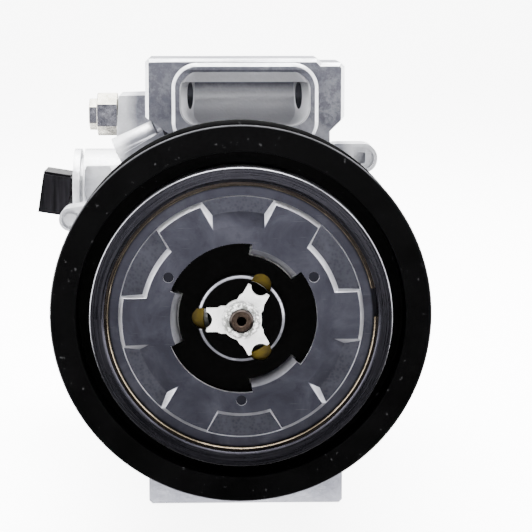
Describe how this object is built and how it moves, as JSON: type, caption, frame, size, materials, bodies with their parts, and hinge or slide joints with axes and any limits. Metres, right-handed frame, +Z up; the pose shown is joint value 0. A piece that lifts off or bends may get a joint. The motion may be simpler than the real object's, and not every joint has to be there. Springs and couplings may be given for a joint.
{
  "type": "automotive air-conditioning compressor",
  "caption": "Clutchless belt-driven variable swash-plate air-conditioning compressor with ribbed damper pulley, cast aluminium body, mounting bosses, relief valve and plug-in control valve.",
  "frame": {"origin": "on the drive shaft's axis, in the middle plane of the belt grooves", "axes": "+Y along the shaft from the pulley to the rear, +Z up towards the upper mounting boss, +X to the right as seen from the pulley side"},
  "size_m": [0.129, 0.2024, 0.1434],
  "materials": {
    "rim_plastic": "matt black moulded phenolic",
    "insert_steel": "dark blued turned steel",
    "ring_steel": "bright spring steel, faint straw tint",
    "cover_zinc": "zinc-plated sheet, light stains",
    "black_rubber": "matt",
    "disc_black": "black phosphate",
    "hub_steel": "bright sintered steel",
    "machined_steel": "ground",
    "spring_steel": "oiled wire",
    "cage_plastic": "natural nylon",
    "cast_aluminium": "blasted die casting",
    "bolt_steel": "zinc plated",
    "gasket_grey": "coated sheet",
    "reed_steel": "blank spring sheet",
    "yellow_chromate": "olive-yellow passivated zinc",
    "iron": "machined",
    "piston_aluminium": "machined, coated skirt",
    "shoe_steel": "polished",
    "relief_nickel": "nickel plated",
    "valve_brass": "turned",
    "connector_plastic": "charcoal moulding"
  },
  "bodies": {
    "housing": {"front_housing": "cast_aluminium", "cylinder_block": "cast_aluminium", "body_gasket": "gasket_grey", "suction_reed_plate": "reed_steel", "valve_plate": "reed_steel", "discharge_reed_plate": "reed_steel", "reed_stop_gasket": "gasket_grey", "rear_housing": "cast_aluminium", "through_bolts": "bolt_steel", "nose_cover_ring": "yellow_chromate", "bearing_circlip": "machined_steel", "pulley_bearing_inner_race": "machined_steel", "shaft_lip_seal": "black_rubber", "seal_circlip": "machined_steel", "front_needle_cup": "machined_steel", "rear_needle_cup": "machined_steel", "thrust_washers": "machined_steel", "thrust_rollers": "machined_steel", "lug_plate": "iron", "destroke_spring": "spring_steel", "relief_valve_body": "relief_nickel", "relief_valve_spring": "spring_steel", "control_valve_body": "valve_brass", "control_valve_seals": "black_rubber", "control_valve_circlip": "machined_steel", "control_valve_spring": "spring_steel", "connector_shell": "connector_plastic", "connector_pins": "valve_brass"},
    "rotor": {"pulley_rim": "rim_plastic", "pulley_insert": "insert_steel", "cover_snap_ring": "ring_steel", "damper_cover": "cover_zinc", "rubber_dampers": "black_rubber", "limiter_disc": "disc_black", "hub_spider": "hub_steel", "drive_shaft": "machined_steel", "pulley_bearing_outer_race": "machined_steel", "pulley_bearing_seals": "black_rubber"},
    "bearing_cage_set": {"pulley_bearing_cage": "cage_plastic", "pulley_bearing_balls": "machined_steel"},
    "front_rollers": {"front_needle_rollers": "machined_steel"},
    "rear_rollers": {"rear_needle_rollers": "machined_steel"},
    "swash": {"swash_plate": "iron", "guide_pin": "machined_steel"},
    "relief_poppet": {"relief_valve_poppet": "relief_nickel"},
    "valve_plunger": {"control_valve_plunger": "machined_steel"},
    "piston_body_1": {"piston_1": "piston_aluminium"},
    "shoe_pair_1": {"shoes_1": "shoe_steel"},
    "piston_body_2": {"piston_2": "piston_aluminium"},
    "shoe_pair_2": {"shoes_2": "shoe_steel"},
    "piston_body_3": {"piston_3": "piston_aluminium"},
    "shoe_pair_3": {"shoes_3": "shoe_steel"},
    "piston_body_4": {"piston_4": "piston_aluminium"},
    "shoe_pair_4": {"shoes_4": "shoe_steel"},
    "piston_body_5": {"piston_5": "piston_aluminium"},
    "shoe_pair_5": {"shoes_5": "shoe_steel"},
    "piston_body_6": {"piston_6": "piston_aluminium"},
    "shoe_pair_6": {"shoes_6": "shoe_steel"}
  },
  "joints": [
    {"name": "rotor_spin", "type": "hinge", "parent": "housing", "child": "rotor", "pos_m": [0, 0, 0], "axis": [0, -1, 0], "continuous": true},
    {"name": "pulley_bearing_cage_spin", "type": "hinge", "parent": "housing", "child": "bearing_cage_set", "pos_m": [0, 0, 0], "axis": [0, -1, 0], "continuous": true},
    {"name": "front_rollers_spin", "type": "hinge", "parent": "housing", "child": "front_rollers", "pos_m": [0, 0, 0], "axis": [0, -1, 0], "continuous": true},
    {"name": "rear_rollers_spin", "type": "hinge", "parent": "housing", "child": "rear_rollers", "pos_m": [0, 0, 0], "axis": [0, -1, 0], "continuous": true},
    {"name": "swash_tilt", "type": "hinge", "parent": "housing", "child": "swash", "pos_m": [0, 0.066, 0.0325], "axis": [-1, 0, 0], "range_deg": [0, 17], "deforming": ["destroke_spring"]},
    {"name": "piston_1_stroke", "type": "slide", "parent": "housing", "child": "piston_body_1", "axis": [0, -1, 0], "range_m": [0, 0.01]},
    {"name": "shoes_1_swivel", "type": "hinge", "parent": "piston_body_1", "child": "shoe_pair_1", "pos_m": [0.0325, 0.066, 0], "axis": [-1, 0, 0], "range_deg": [0, 17.2]},
    {"name": "piston_2_stroke", "type": "slide", "parent": "housing", "child": "piston_body_2", "axis": [0, -1, 0], "range_m": [0, 0.0014]},
    {"name": "shoes_2_swivel", "type": "hinge", "parent": "piston_body_2", "child": "shoe_pair_2", "pos_m": [0.01625, 0.066, 0.02815], "axis": [-1, 0, 0], "range_deg": [0, 17.2]},
    {"name": "piston_3_stroke", "type": "slide", "parent": "housing", "child": "piston_body_3", "axis": [0, -1, 0], "range_m": [0, 0.0014]},
    {"name": "shoes_3_swivel", "type": "hinge", "parent": "piston_body_3", "child": "shoe_pair_3", "pos_m": [-0.01625, 0.066, 0.02815], "axis": [-1, 0, 0], "range_deg": [0, 17.2]},
    {"name": "piston_4_stroke", "type": "slide", "parent": "housing", "child": "piston_body_4", "axis": [0, -1, 0], "range_m": [0, 0.01]},
    {"name": "shoes_4_swivel", "type": "hinge", "parent": "piston_body_4", "child": "shoe_pair_4", "pos_m": [-0.0325, 0.066, 0], "axis": [-1, 0, 0], "range_deg": [0, 17.2]},
    {"name": "piston_5_stroke", "type": "slide", "parent": "housing", "child": "piston_body_5", "axis": [0, -1, 0], "range_m": [0, 0.0185]},
    {"name": "shoes_5_swivel", "type": "hinge", "parent": "piston_body_5", "child": "shoe_pair_5", "pos_m": [-0.01625, 0.066, -0.02815], "axis": [-1, 0, 0], "range_deg": [0, 17.2]},
    {"name": "piston_6_stroke", "type": "slide", "parent": "housing", "child": "piston_body_6", "axis": [0, -1, 0], "range_m": [0, 0.0185]},
    {"name": "shoes_6_swivel", "type": "hinge", "parent": "piston_body_6", "child": "shoe_pair_6", "pos_m": [0.01625, 0.066, -0.02815], "axis": [-1, 0, 0], "range_deg": [0, 17.2]},
    {"name": "relief_poppet_lift", "type": "slide", "parent": "housing", "child": "relief_poppet", "axis": [-1, 0, 0], "range_m": [0, 0.002], "stiffness_N_per_m": 400, "deforming": ["relief_valve_spring"]},
    {"name": "control_plunger_stroke", "type": "slide", "parent": "housing", "child": "valve_plunger", "axis": [-1, 0, 0], "range_m": [0, 0.002], "stiffness_N_per_m": 300, "deforming": ["control_valve_spring"]}
  ],
  "couplings": [
    {"joint": "pulley_bearing_cage_spin", "follows": "rotor_spin", "ratio": 0.5539},
    {"joint": "front_rollers_spin", "follows": "rotor_spin", "ratio": 0.4279},
    {"joint": "rear_rollers_spin", "follows": "rotor_spin", "ratio": 0.4279},
    {"joint": "piston_1_stroke", "follows": "swash_tilt", "m_per_rad": 0.033231},
    {"joint": "shoes_1_swivel", "follows": "swash_tilt", "ratio": 1},
    {"joint": "piston_2_stroke", "follows": "swash_tilt", "m_per_rad": 0.004452},
    {"joint": "shoes_2_swivel", "follows": "swash_tilt", "ratio": 1},
    {"joint": "piston_3_stroke", "follows": "swash_tilt", "m_per_rad": 0.004452},
    {"joint": "shoes_3_swivel", "follows": "swash_tilt", "ratio": 1},
    {"joint": "piston_4_stroke", "follows": "swash_tilt", "m_per_rad": 0.033231},
    {"joint": "shoes_4_swivel", "follows": "swash_tilt", "ratio": 1},
    {"joint": "piston_5_stroke", "follows": "swash_tilt", "m_per_rad": 0.06201},
    {"joint": "shoes_5_swivel", "follows": "swash_tilt", "ratio": 1},
    {"joint": "piston_6_stroke", "follows": "swash_tilt", "m_per_rad": 0.06201},
    {"joint": "shoes_6_swivel", "follows": "swash_tilt", "ratio": 1}
  ]
}
